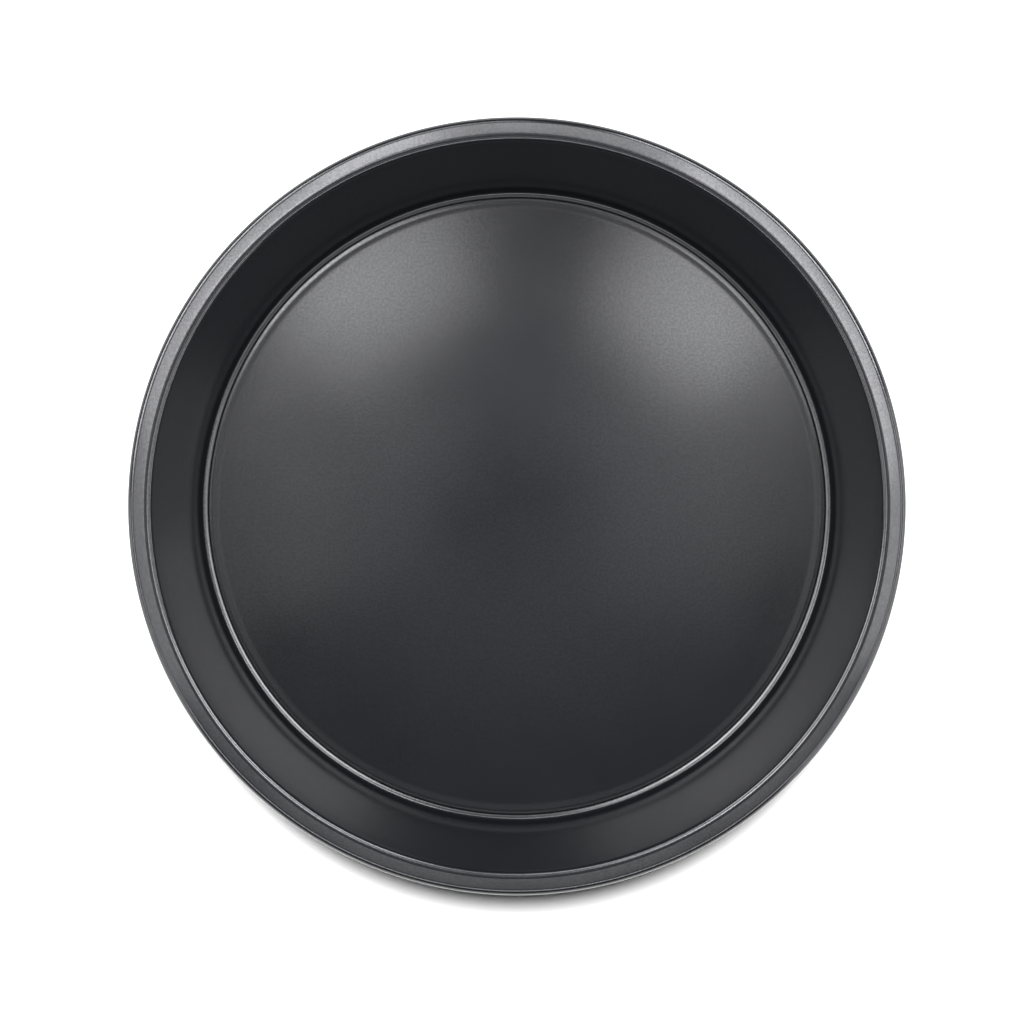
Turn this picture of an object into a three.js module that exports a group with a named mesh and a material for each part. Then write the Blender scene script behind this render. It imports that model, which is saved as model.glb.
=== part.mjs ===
// A round cake pan with a loose base, in millimetres, +Z up.
// The origin is on the pan's axis, on the table that the pan stands on.
import * as THREE from 'three';

// Side ring: one drawn sheet with a flared wall, an inward ledge at the foot and a rolled rim.
const MOUTH_DIAMETER = 228;      // inside, where the straight wall ends below the rim
const PAN_HEIGHT = 45;           // from the table to the top of the rim
const WALL_FLARE = 13.3;         // lean of the wall from upright, in degrees
const RING_SHEET = 0.6;          // thickness of the ring's steel
const LEDGE_WIDTH = 10;          // flat part of the ledge
const LEDGE_RADIUS = 5.5;        // upper radius where the ledge curves up towards the wall
const LEDGE_RISE = 26;           // slope at the end of that curve, in degrees
const CORNER_RADIUS = 1.8;       // upper radius of the corner from there into the wall
const RIM_BEND_RADIUS = 2.4;     // upper radius where the wall turns out into the flange
const FLANGE_SLOPE = 8;          // fall of the flange away from the mouth, in degrees
const FLANGE_WIDTH = 2.95;       // straight part of the flange
const ROLL_WRAP = 240;           // how far the sheet is rolled round the wire, in degrees

// Rim wire: keeps the mouth round, and the sheet is rolled round it.
const WIRE_DIAMETER = 4;
const WIRE_CLEARANCE = 0.1;      // between the wire and the sheet round it

// Loose base: a flat plate that lies on the ledge, with a slightly raised edge that turns down.
const BASE_SHEET = 0.6;          // thickness of the plate
const BASE_EDGE_GAP = 2.05;      // from the plate's edge to the lower end of the straight wall
const BEAD_RADIUS = 12;          // where the floor turns up towards its edge
const BEAD_SLOPE = 6.5;          // rise of the floor towards its edge, in degrees
const BEAD_RAMP = 0.8;           // length of that rise
const CROWN_RADIUS = 3;          // where that rise levels out
const BROW_RADIUS = 12;          // along the top of the raised edge
const BROW_FALL = 5;             // slope at the outer end of the top, in degrees
const EDGE_RADIUS = 0.65;        // outside radius where the edge turns down
const EDGE_FALL = 50;            // slope at the end of the edge, in degrees
const SEAT_CLEARANCE = 0.15;     // between the plate and the ring under it

// Fineness of round stretches.
const SIDES = 72;                // flats round the pan
const ARC_STEP = 20;             // largest step along a bend, in degrees
const WIRE_SIDES = 10;           // flats round the wire

const { degToRad } = THREE.MathUtils;
const RIGHT_ANGLE = 90;

// The outline of a bent sheet, walked along its upper face with the sheet below it.
class SheetProfile {
  constructor(radius, height, thickness) {
    this.point = new THREE.Vector2(radius, height);
    this.thickness = thickness;
    this.heading = 0;
    this.upperFace = [];
    this.lowerFace = [];
    this.mark();
  }

  upward() {
    return new THREE.Vector2(-Math.sin(this.heading), Math.cos(this.heading));
  }

  mark() {
    this.upperFace.push(this.point.clone());
    this.lowerFace.push(this.point.clone().addScaledVector(this.upward(), -this.thickness));
  }

  straight(length) {
    this.point.x += length * Math.cos(this.heading);
    this.point.y += length * Math.sin(this.heading);
    this.mark();
    return this;
  }

  // Positive degrees turn up and negative ones turn down. The radius is the upper face's.
  bend(degrees, radius) {
    const towardsCentre = radius * Math.sign(degrees);
    const centre = this.point.clone().addScaledVector(this.upward(), towardsCentre);
    const steps = Math.ceil(Math.abs(degrees) / ARC_STEP);
    for (let step = 0; step < steps; step += 1) {
      this.heading += degToRad(degrees / steps);
      this.point.copy(centre).addScaledVector(this.upward(), -towardsCentre);
      this.mark();
    }
    return this;
  }

  // Counter-clockwise, from the start of the lower face to the start of the upper one.
  outline() {
    return [...this.lowerFace, ...this.upperFace.toReversed()];
  }
}

// Turns a counter-clockwise outline of radii and heights about the pan's axis.
function revolve(outline) {
  return new THREE.LatheGeometry(outline, SIDES).rotateX(degToRad(RIGHT_ANGLE));
}

// Sizes that follow from the driving dimensions.
const wallTurn = RIGHT_ANGLE - WALL_FLARE;
const flare = degToRad(WALL_FLARE);
const mouthRadius = MOUTH_DIAMETER / 2;
const ledgeRise = degToRad(LEDGE_RISE);
const cornerRun = CORNER_RADIUS * (Math.cos(flare) - Math.sin(ledgeRise));
const cornerRise = CORNER_RADIUS * (Math.cos(ledgeRise) - Math.sin(flare));
const footRun = LEDGE_RADIUS * Math.sin(ledgeRise) + cornerRun;
const footRise = LEDGE_RADIUS * (1 - Math.cos(ledgeRise)) + cornerRise;
const bendRise = RIM_BEND_RADIUS * (1 - Math.sin(flare));
const wallRise = PAN_HEIGHT - RING_SHEET - footRise - bendRise;
const wallFootRadius = mouthRadius - wallRise * Math.tan(flare);
const ledgeOuterRadius = wallFootRadius - footRun;
const ledgeInnerRadius = ledgeOuterRadius - LEDGE_WIDTH;
const flangeSlope = degToRad(FLANGE_SLOPE);
const crestRadius = mouthRadius + RIM_BEND_RADIUS * Math.cos(flare);
const wireRadius = WIRE_DIAMETER / 2;
const rollRadius = wireRadius + WIRE_CLEARANCE + RING_SHEET;
const rollInset = RIM_BEND_RADIUS - rollRadius;
const flangeRun = FLANGE_WIDTH * Math.cos(flangeSlope);
const wireRingRadius = crestRadius + rollInset * Math.sin(flangeSlope) + flangeRun;
const wireDrop = FLANGE_WIDTH * Math.sin(flangeSlope) - rollInset * Math.cos(flangeSlope);
const wireHeight = PAN_HEIGHT - RIM_BEND_RADIUS - wireDrop;
const baseRadius = wallFootRadius - BASE_EDGE_GAP;

// Height of the ring's upper face under the base, where the ledge curves up.
function footHeight(radius) {
  const along = Math.max(0, radius - ledgeOuterRadius);
  return RING_SHEET + LEDGE_RADIUS - Math.sqrt(LEDGE_RADIUS ** 2 - along ** 2);
}

function sideRing() {
  const profile = new SheetProfile(ledgeInnerRadius, RING_SHEET, RING_SHEET)
    .straight(LEDGE_WIDTH)
    .bend(LEDGE_RISE, LEDGE_RADIUS)
    .bend(wallTurn - LEDGE_RISE, CORNER_RADIUS)
    .straight(wallRise / Math.cos(flare))
    .bend(-wallTurn, RIM_BEND_RADIUS)
    .bend(-FLANGE_SLOPE, RIM_BEND_RADIUS)
    .straight(FLANGE_WIDTH)
    .bend(-ROLL_WRAP, rollRadius);
  const outline = profile.outline();
  return revolve([...outline, outline[0]]);
}

function rimWire() {
  const section = new THREE.EllipseCurve(wireRingRadius, wireHeight, wireRadius, wireRadius);
  return revolve(section.getPoints(WIRE_SIDES));
}

// The plate's upper face is drawn at zero height, and its place is the height of the floor.
function looseBase() {
  return revolve(baseProfile().outline());
}

function baseProfile() {
  const beadRise = degToRad(BEAD_SLOPE);
  const browFall = degToRad(BROW_FALL);
  const edgeFall = degToRad(EDGE_FALL);
  const beadBends = (BEAD_RADIUS + CROWN_RADIUS) * Math.sin(beadRise);
  const beadWidth = beadBends + BEAD_RAMP * Math.cos(beadRise);
  const browWidth = BROW_RADIUS * Math.sin(browFall);
  const edgeWidth = EDGE_RADIUS * (Math.sin(edgeFall) - Math.sin(browFall));
  return new SheetProfile(0, 0, BASE_SHEET)
    .straight(baseRadius - edgeWidth - browWidth - beadWidth)
    .bend(BEAD_SLOPE, BEAD_RADIUS)
    .straight(BEAD_RAMP)
    .bend(-BEAD_SLOPE, CROWN_RADIUS)
    .bend(-BROW_FALL, BROW_RADIUS)
    .bend(BROW_FALL - EDGE_FALL, EDGE_RADIUS);
}

// The floor lies as low as the ring under the plate lets it.
function floorHeight() {
  const needed = baseProfile().lowerFace.map(({ x, y }) => footHeight(x) - y);
  return Math.max(...needed) + SEAT_CLEARANCE;
}

const coating = { color: 0x303134, roughness: 0.45, metalness: 0.35 };
const steel = { color: 0x9a9c9e, roughness: 0.4, metalness: 1 };

function piece(name, geometry, finish) {
  const mesh = new THREE.Mesh(geometry, new THREE.MeshStandardMaterial(finish));
  mesh.name = name;
  return mesh;
}

const pan = new THREE.Group();
pan.add(piece('side_ring', sideRing(), coating));
pan.add(piece('rim_wire', rimWire(), steel));
const base = piece('loose_base', looseBase(), coating);
base.position.z = floorHeight();
pan.add(base);

export default pan;
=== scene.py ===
"""The looks of a round cake pan with a loose base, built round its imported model."""

import math

import bpy
from mathutils import Matrix, Vector


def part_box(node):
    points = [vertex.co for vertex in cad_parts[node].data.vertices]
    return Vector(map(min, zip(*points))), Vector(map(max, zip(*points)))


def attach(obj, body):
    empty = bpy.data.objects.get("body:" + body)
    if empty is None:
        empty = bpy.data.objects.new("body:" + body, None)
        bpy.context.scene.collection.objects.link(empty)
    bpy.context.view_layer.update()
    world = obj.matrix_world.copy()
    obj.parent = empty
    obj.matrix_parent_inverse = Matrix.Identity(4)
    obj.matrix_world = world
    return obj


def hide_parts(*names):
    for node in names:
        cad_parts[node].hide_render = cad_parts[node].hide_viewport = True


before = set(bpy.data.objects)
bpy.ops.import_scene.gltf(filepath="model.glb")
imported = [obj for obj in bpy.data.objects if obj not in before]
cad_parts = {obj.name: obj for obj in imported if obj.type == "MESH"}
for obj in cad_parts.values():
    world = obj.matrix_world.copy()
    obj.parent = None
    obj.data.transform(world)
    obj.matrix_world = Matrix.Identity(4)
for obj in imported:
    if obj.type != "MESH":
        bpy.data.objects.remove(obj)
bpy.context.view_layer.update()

MM = 0.001
UP = Vector((0, 0, 1))

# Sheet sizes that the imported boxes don't give, as in the solids.
RING_SHEET = 0.6 * MM
WALL_FLARE = math.radians(13.3)    # lean of the wall from upright
LEDGE_WIDTH = 10 * MM
LEDGE_RADIUS = 5.5 * MM            # where the ledge curves up towards the wall
LEDGE_RISE = math.radians(26)      # slope at the end of that curve
CORNER_RADIUS = 1.8 * MM           # from there into the wall
RIM_BEND_RADIUS = 2.4 * MM
FLANGE_SLOPE = math.radians(8)
FLANGE_WIDTH = 2.95 * MM
ROLL_WRAP = math.radians(240)      # how far the sheet is rolled round the wire
ROLL_RADIUS = 2.7 * MM
BASE_SHEET = 0.6 * MM
BEAD_RADIUS = 12 * MM              # where the floor turns up towards its edge
BEAD_SLOPE = math.radians(6.5)
BEAD_RAMP = 0.8 * MM
CROWN_RADIUS = 3 * MM              # where that rise levels out
BROW_RADIUS = 12 * MM              # along the top of the raised edge
BROW_FALL = math.radians(5)        # slope at the outer end of the top
EDGE_RADIUS = 0.65 * MM            # where the edge turns down
EDGE_FALL = math.radians(50)
CUT_BULGE = 0.08 * MM              # how far a cut end of the sheet is rounded out

# Fineness of the visible meshes.
SIDES = 288                        # flats round the pan
ARC_STEP = math.radians(4)         # largest step along a bend
FLOOR_RINGS = 12                   # rings of faces on the flat floor
WALL_RINGS = 6                     # rings of faces up the wall
CAP_SHARES = (0.25, 0.5, 0.75)     # points round a cut end, as shares of its half turn
AXIS_RADIUS = MM / 1000            # a point closer to the axis than this lies on it

# Places of the pieces, from the frame.
ring_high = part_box("side_ring")[1]
base_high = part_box("loose_base")[1]
rim_radius = ring_high.x
rim_height = ring_high.z
base_radius = base_high.x


class SheetProfile:
    """Half the section of a bent sheet, walked along its upper face, with rounded ends."""

    def __init__(self, radius, height, thickness, rounded_start=True):
        self.radius, self.height = radius, height
        self.thickness = thickness
        self.heading = 0.0
        self.upper, self.lower = [], []
        self.mark()
        self.start_cap = self.cap(-1) if rounded_start else []

    def offset(self, distance):
        """A point at that distance above the upper face."""
        return (
            self.radius - distance * math.sin(self.heading),
            self.height + distance * math.cos(self.heading),
        )

    def mark(self):
        self.upper.append(self.offset(0))
        self.lower.append(self.offset(-self.thickness))

    def cap(self, direction):
        """Points round the sheet's cut end, from the lower face to the upper one."""
        half = self.thickness / 2
        points = []
        for share in CAP_SHARES:
            along = direction * CUT_BULGE * math.sin(share * math.pi)
            below = half + half * math.cos(share * math.pi)
            x, y = self.offset(-below)
            points.append((x + along * math.cos(self.heading), y + along * math.sin(self.heading)))
        return points

    def straight(self, length, steps=1):
        for _ in range(steps):
            self.radius += length / steps * math.cos(self.heading)
            self.height += length / steps * math.sin(self.heading)
            self.mark()
        return self

    def bend(self, angle, radius):
        """Turns up for a positive angle. The radius is the upper face's."""
        towards_centre = math.copysign(radius, angle)
        centre_x, centre_y = self.offset(towards_centre)
        steps = math.ceil(abs(angle) / ARC_STEP)
        for _ in range(steps):
            self.heading += angle / steps
            self.radius = centre_x + towards_centre * math.sin(self.heading)
            self.height = centre_y - towards_centre * math.cos(self.heading)
            self.mark()
        return self

    def outline(self):
        """Counter-clockwise, from the start of the lower face to the start of the upper one."""
        return self.lower + self.cap(1) + self.upper[::-1] + self.start_cap[::-1]


def revolve(name, outline):
    """A smooth mesh of the outline turned about the pan's axis; its ends meet or lie on the axis."""
    on_axis = outline[0][0] < AXIS_RADIUS
    vertices, faces, rows = [], [], []
    for radius, height in outline:
        if radius < AXIS_RADIUS:
            rows.append([len(vertices)] * SIDES)
            vertices.append((0, 0, height))
            continue
        rows.append(list(range(len(vertices), len(vertices) + SIDES)))
        for side in range(SIDES):
            turn = 2 * math.pi * side / SIDES
            vertices.append((radius * math.cos(turn), radius * math.sin(turn), height))
    pairs = list(zip(rows, rows[1:]))
    if not on_axis:
        pairs.append((rows[-1], rows[0]))
    for row, following in pairs:
        for side in range(SIDES):
            after = (side + 1) % SIDES
            corners = [row[side], row[after], following[after], following[side]]
            faces.append(list(dict.fromkeys(corners)))
    mesh = bpy.data.meshes.new(name)
    mesh.from_pydata(vertices, [], faces)
    mesh.shade_smooth()
    made = bpy.data.objects.new(name, mesh)
    bpy.context.scene.collection.objects.link(made)
    return made


def ring_shell():
    wall_turn = math.pi / 2 - WALL_FLARE
    corner_run = CORNER_RADIUS * (math.cos(WALL_FLARE) - math.sin(LEDGE_RISE))
    corner_rise = CORNER_RADIUS * (math.cos(LEDGE_RISE) - math.sin(WALL_FLARE))
    foot_run = LEDGE_RADIUS * math.sin(LEDGE_RISE) + corner_run
    foot_rise = LEDGE_RADIUS * (1 - math.cos(LEDGE_RISE)) + corner_rise
    bend_run = RIM_BEND_RADIUS * math.cos(WALL_FLARE)
    bend_rise = RIM_BEND_RADIUS * (1 - math.sin(WALL_FLARE))
    wall_rise = rim_height - RING_SHEET - foot_rise - bend_rise
    wall_run = wall_rise * math.tan(WALL_FLARE)
    slope_run = (RIM_BEND_RADIUS - ROLL_RADIUS) * math.sin(FLANGE_SLOPE)
    rim_run = slope_run + FLANGE_WIDTH * math.cos(FLANGE_SLOPE) + ROLL_RADIUS
    inner_radius = rim_radius - rim_run - bend_run - wall_run - foot_run - LEDGE_WIDTH
    profile = (
        SheetProfile(inner_radius, RING_SHEET, RING_SHEET)
        .straight(LEDGE_WIDTH)
        .bend(LEDGE_RISE, LEDGE_RADIUS)
        .bend(wall_turn - LEDGE_RISE, CORNER_RADIUS)
        .straight(wall_rise / math.cos(WALL_FLARE), steps=WALL_RINGS)
        .bend(-wall_turn, RIM_BEND_RADIUS)
        .bend(-FLANGE_SLOPE, RIM_BEND_RADIUS)
        .straight(FLANGE_WIDTH)
        .bend(-ROLL_WRAP, ROLL_RADIUS)
    )
    return revolve("ring_shell", profile.outline())


def base_plate():
    bends_radius = BEAD_RADIUS + CROWN_RADIUS
    bead_width = bends_radius * math.sin(BEAD_SLOPE) + BEAD_RAMP * math.cos(BEAD_SLOPE)
    bead_rise = bends_radius * (1 - math.cos(BEAD_SLOPE)) + BEAD_RAMP * math.sin(BEAD_SLOPE)
    brow_width = BROW_RADIUS * math.sin(BROW_FALL)
    edge_width = EDGE_RADIUS * (math.sin(EDGE_FALL) - math.sin(BROW_FALL))
    flat_radius = base_radius - edge_width - brow_width - bead_width
    profile = (
        SheetProfile(0, base_high.z - bead_rise, BASE_SHEET, rounded_start=False)
        .straight(flat_radius, steps=FLOOR_RINGS)
        .bend(BEAD_SLOPE, BEAD_RADIUS)
        .straight(BEAD_RAMP)
        .bend(-BEAD_SLOPE, CROWN_RADIUS)
        .bend(-BROW_FALL, BROW_RADIUS)
        .bend(BROW_FALL - EDGE_FALL, EDGE_RADIUS)
    )
    return revolve("base_plate", profile.outline())


# Noise values lie mostly between these two.
NOISE_LOW = 0.3
NOISE_HIGH = 0.7


class NodeMaterial:
    """A material with a Principled shader, and short ways to add nodes to it."""

    def __init__(self, name):
        self.material = bpy.data.materials.new(name)
        self.material.use_nodes = True
        self.tree = self.material.node_tree
        self.shader = self.tree.nodes["Principled BSDF"]

    def add(self, kind, **settings):
        node = self.tree.nodes.new(kind)
        for key, value in settings.items():
            setattr(node, key, value)
        return node

    def join(self, output, socket):
        self.tree.links.new(output, socket)

    def coordinates(self):
        return self.add("ShaderNodeTexCoord").outputs["Object"]

    def noise(self, coordinates, size, detail=2.0):
        """Soft noise whose patches are about that size."""
        node = self.add("ShaderNodeTexNoise")
        node.inputs["Scale"].default_value = 1 / size
        node.inputs["Detail"].default_value = detail
        self.join(coordinates, node.inputs["Vector"])
        return node.outputs["Fac"]

    def between(self, factor, low, high):
        """Maps noise to a range of numbers."""
        node = self.add("ShaderNodeMapRange")
        node.inputs["From Min"].default_value = NOISE_LOW
        node.inputs["From Max"].default_value = NOISE_HIGH
        node.inputs["To Min"].default_value = low
        node.inputs["To Max"].default_value = high
        self.join(factor, node.inputs["Value"])
        return node.outputs["Result"]

    def mix(self, factor, first, second):
        """Maps noise to the colours between the two."""
        node = self.add("ShaderNodeMix", data_type="RGBA")
        node.inputs["A"].default_value = (*first, 1)
        node.inputs["B"].default_value = (*second, 1)
        self.join(factor, node.inputs["Factor"])
        return node.outputs["Result"]

    def bump(self, height, distance):
        """Raises the surface by up to that distance."""
        node = self.add("ShaderNodeBump")
        node.inputs["Distance"].default_value = distance
        self.join(height, node.inputs["Height"])
        self.join(node.outputs["Normal"], self.shader.inputs["Normal"])


COATING_DARK = (0.0038, 0.0041, 0.0050)
COATING_LIGHT = (0.0050, 0.0054, 0.0066)
COATING_METALLIC = (0.03, 0.25)   # the more of it a speck has, the less it shines
COATING_ROUGHNESS = (0.17, 0.19)
GRAIN_SIZE = 0.72 * MM
GRAIN_HEIGHT = 0.005 * MM
CLOUD_SIZE = 25 * MM
STEEL_DARK = (0.32, 0.33, 0.34)
STEEL_LIGHT = (0.50, 0.51, 0.52)
STEEL_ROUGHNESS = (0.3, 0.5)
MARK_SIZE = 0.8 * MM
MARK_DETAIL = 4
MARK_HEIGHT = 0.01 * MM


def coating():
    """Satin dark grey non-stick coating, with a fine grain of specks that shine less."""
    made = NodeMaterial("nonstick_coating")
    where = made.coordinates()
    grain = made.noise(where, GRAIN_SIZE, detail=0)
    cloud = made.noise(where, CLOUD_SIZE)
    made.join(made.mix(grain, COATING_DARK, COATING_LIGHT), made.shader.inputs["Base Color"])
    made.join(made.between(grain, *COATING_METALLIC), made.shader.inputs["Metallic"])
    made.join(made.between(cloud, *COATING_ROUGHNESS), made.shader.inputs["Roughness"])
    made.bump(grain, GRAIN_HEIGHT)
    return made.material


def drawn_steel():
    """Bright steel wire with fine uneven marks."""
    made = NodeMaterial("drawn_steel")
    where = made.coordinates()
    marks = made.noise(where, MARK_SIZE, detail=MARK_DETAIL)
    made.join(made.mix(marks, STEEL_DARK, STEEL_LIGHT), made.shader.inputs["Base Color"])
    made.join(made.between(marks, *STEEL_ROUGHNESS), made.shader.inputs["Roughness"])
    made.bump(marks, MARK_HEIGHT)
    made.shader.inputs["Metallic"].default_value = 1.0
    return made.material


FLOOR_SIZE = 6.0
FLOOR_DARK = (0.86, 0.86, 0.86)
FLOOR_LIGHT = (0.90, 0.90, 0.90)
FLOOR_ROUGHNESS = (0.85, 0.95)
FLOOR_PATCH = 0.3


def pale_floor():
    """Matt white, with very faint patches."""
    made = NodeMaterial("pale_floor")
    tone = made.noise(made.coordinates(), FLOOR_PATCH)
    made.join(made.mix(tone, FLOOR_DARK, FLOOR_LIGHT), made.shader.inputs["Base Color"])
    made.join(made.between(tone, *FLOOR_ROUGHNESS), made.shader.inputs["Roughness"])
    made.shader.inputs["Specular IOR Level"].default_value = 0.0
    return made.material


def dress_pieces():
    ring, base = ring_shell(), base_plate()
    finish = coating()
    for piece, body, node in ((ring, "ring", "side_ring"), (base, "base", "loose_base")):
        piece.data.materials.append(finish)
        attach(piece, body)
        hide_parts(node)
    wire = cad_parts["rim_wire"]
    wire.data.materials.clear()
    wire.data.materials.append(drawn_steel())
    return ring, base, wire


def floor():
    half = FLOOR_SIZE / 2
    corners = [(-half, -half, 0), (half, -half, 0), (half, half, 0), (-half, half, 0)]
    mesh = bpy.data.meshes.new("floor")
    mesh.from_pydata(corners, [], [(0, 1, 2, 3)])
    made = bpy.data.objects.new("floor", mesh)
    bpy.context.scene.collection.objects.link(made)
    made.data.materials.append(pale_floor())
    return made


# The camera looks straight down the pan's axis, as in the photograph.
CAMERA_RISE = 0.7                 # above the rim
RIM_PIXELS = 389.3                # radius of the rim's outline in the image
AXIS_PIXEL = (516.9, 506.1)       # where the pan's axis lies in the image
IMAGE_PIXELS = 1024


def camera():
    data = bpy.data.cameras.new("camera")
    to_widest = CAMERA_RISE + ROLL_RADIUS
    data.lens = RIM_PIXELS / IMAGE_PIXELS * data.sensor_width * to_widest / rim_radius
    data.shift_x = 0.5 - AXIS_PIXEL[0] / IMAGE_PIXELS
    data.shift_y = AXIS_PIXEL[1] / IMAGE_PIXELS - 0.5
    made = bpy.data.objects.new("camera", data)
    made.location = (0, 0, rim_height + CAMERA_RISE)
    bpy.context.scene.collection.objects.link(made)
    bpy.context.scene.camera = made


WHITE = (1, 1, 1, 1)
COOL_WHITE = (0.99, 0.99, 1.02)
SUN_STRENGTH = 8.0
SUN_WIDTH = math.radians(17)      # how wide the sun looks, which softens the shadow
WIDEST_PANEL = 32                 # degrees of an arc that one soft light spans at most
BACKDROP_RADIANCE = 1.0
FILL_RADIANCE = 0.02


def place_light(data, azimuth, tilt, distance):
    """Puts a light at that distance from the pan, turned from +X and tilted off the axis, in degrees."""
    made = bpy.data.objects.new(data.name, data)
    turn, lean = math.radians(azimuth), math.radians(tilt)
    aside = Vector((math.cos(turn), math.sin(turn), 0))
    target = UP * rim_height / 2
    away = math.sin(lean) * aside + math.cos(lean) * UP
    across = UP.cross(aside)
    made.matrix_world = Matrix((across, away.cross(across), away)).transposed().to_4x4()
    made.location = target + distance * away
    made.visible_camera = False
    bpy.context.scene.collection.objects.link(made)
    return made


def softbox(name, azimuth, tilt, distance, width, height, radiance):
    """A soft light that faces the pan, with its width along the horizon."""
    data = bpy.data.lights.new(name, "AREA")
    data.shape = "RECTANGLE"
    data.size, data.size_y = width, height
    data.color = COOL_WHITE
    data.energy = radiance * math.pi * width * height
    return place_light(data, azimuth, tilt, distance)


def world_light():
    """A white backdrop behind the floor, which lights the pan only a little."""
    world = bpy.data.worlds.new("studio")
    world.use_nodes = True
    tree = world.node_tree
    backdrop = tree.nodes["Background"]
    backdrop.inputs["Color"].default_value = WHITE
    backdrop.inputs["Strength"].default_value = BACKDROP_RADIANCE
    fill = tree.nodes.new("ShaderNodeBackground")
    fill.inputs["Color"].default_value = WHITE
    fill.inputs["Strength"].default_value = FILL_RADIANCE
    path = tree.nodes.new("ShaderNodeLightPath")
    mix = tree.nodes.new("ShaderNodeMixShader")
    tree.links.new(path.outputs["Is Camera Ray"], mix.inputs["Fac"])
    tree.links.new(fill.outputs["Background"], mix.inputs[1])
    tree.links.new(backdrop.outputs["Background"], mix.inputs[2])
    tree.links.new(mix.outputs["Shader"], tree.nodes["World Output"].inputs["Surface"])
    bpy.context.scene.world = world


def collection_of(name, members):
    made = bpy.data.collections.new(name)
    for member in members:
        made.objects.link(member)
    return made


def floor_light(floor_only):
    """Keeps the floor white and leaves a short soft shadow below the pan."""
    data = bpy.data.lights.new("floor_light", "SUN")
    data.energy = SUN_STRENGTH
    data.angle = SUN_WIDTH
    made = place_light(data, azimuth=90, tilt=18, distance=1.5)
    made.light_linking.receiver_collection = floor_only


def light_arc(name, azimuth, span, tilt, rise, distance, radiance):
    """A row of soft lights along an arc round the pan, which face it; angles in degrees."""
    count = math.ceil(span / WIDEST_PANEL)
    step = span / count
    width = 2 * distance * math.sin(math.radians(tilt)) * math.tan(math.radians(step / 2))
    height = 2 * distance * math.tan(math.radians(rise / 2))
    first = azimuth - step * (count - 1) / 2
    return [
        softbox(f"{name}_{number}", first + number * step, tilt, distance, width, height, radiance)
        for number in range(count)
    ]


def soft_lights():
    """The lights that the pan mirrors: low ones draw its rim, higher ones its foot and its floor."""
    return [
        *light_arc("surround", azimuth=249, span=321, tilt=56, rise=11, distance=0.8, radiance=7.4),
        *light_arc("side_right", azimuth=48, span=54, tilt=56, rise=11, distance=0.8, radiance=18.0),
        *light_arc("side_left", azimuth=148, span=52, tilt=64, rise=11, distance=0.8, radiance=15.5),
        *light_arc("low_right", azimuth=346, span=62, tilt=80, rise=11, distance=0.8, radiance=7.4),
        *light_arc("low_left", azimuth=196, span=35, tilt=80, rise=11, distance=0.8, radiance=6.0),
        *light_arc("key_right", azimuth=35, span=58, tilt=30, rise=12, distance=0.8, radiance=13.4),
        *light_arc("key_left", azimuth=136, span=66, tilt=32, rise=12, distance=0.8, radiance=9.6),
        *light_arc("high_right", azimuth=66, span=56, tilt=24, rise=8, distance=0.8, radiance=3.6),
        *light_arc("high_left", azimuth=151, span=66, tilt=25, rise=8, distance=0.8, radiance=4.2),
        *light_arc("brow_right", azimuth=31, span=30, tilt=22, rise=11, distance=0.8, radiance=5.5),
        *light_arc("brow_left", azimuth=133, span=30, tilt=22, rise=11, distance=0.8, radiance=14.5),
        *light_arc("fill_right", azimuth=353, span=30, tilt=35, rise=14, distance=0.8, radiance=5.4),
        *light_arc("fill_left", azimuth=190, span=40, tilt=32, rise=18, distance=0.8, radiance=4.2),
        *light_arc("front", azimuth=285, span=150, tilt=28, rise=14, distance=0.8, radiance=1.9),
        *light_arc("near_front", azimuth=285, span=106, tilt=40, rise=20, distance=0.4, radiance=0.6),
        *light_arc("head", azimuth=90, span=61, tilt=42, rise=11, distance=0.4, radiance=6.6),
        *light_arc("glow_right", azimuth=49, span=32, tilt=21, rise=12, distance=0.4, radiance=7.2),
        *light_arc("glow_left", azimuth=121, span=37, tilt=21, rise=12, distance=0.4, radiance=5.9),
        *light_arc("soft_right", azimuth=22, span=72, tilt=18, rise=11, distance=0.4, radiance=0.75),
        *light_arc("soft_left", azimuth=174, span=60, tilt=20, rise=12, distance=0.4, radiance=0.85),
        *light_arc("over_right", azimuth=10, span=94, tilt=13, rise=12, distance=0.4, radiance=0.6),
        *light_arc("over_left", azimuth=168, span=80, tilt=13, rise=12, distance=0.4, radiance=0.95),
        *light_arc("top", azimuth=0, span=300, tilt=8, rise=10, distance=0.8, radiance=0.5),
    ]


def studio(pan_pieces, floor_plane):
    world_light()
    floor_light(collection_of("floor_only", [floor_plane]))
    pan_only = collection_of("pan_only", pan_pieces)
    for light in soft_lights():
        light.light_linking.receiver_collection = pan_only
    bpy.context.scene.view_settings.view_transform = "Standard"


pan = dress_pieces()
camera()
studio(pan, floor())
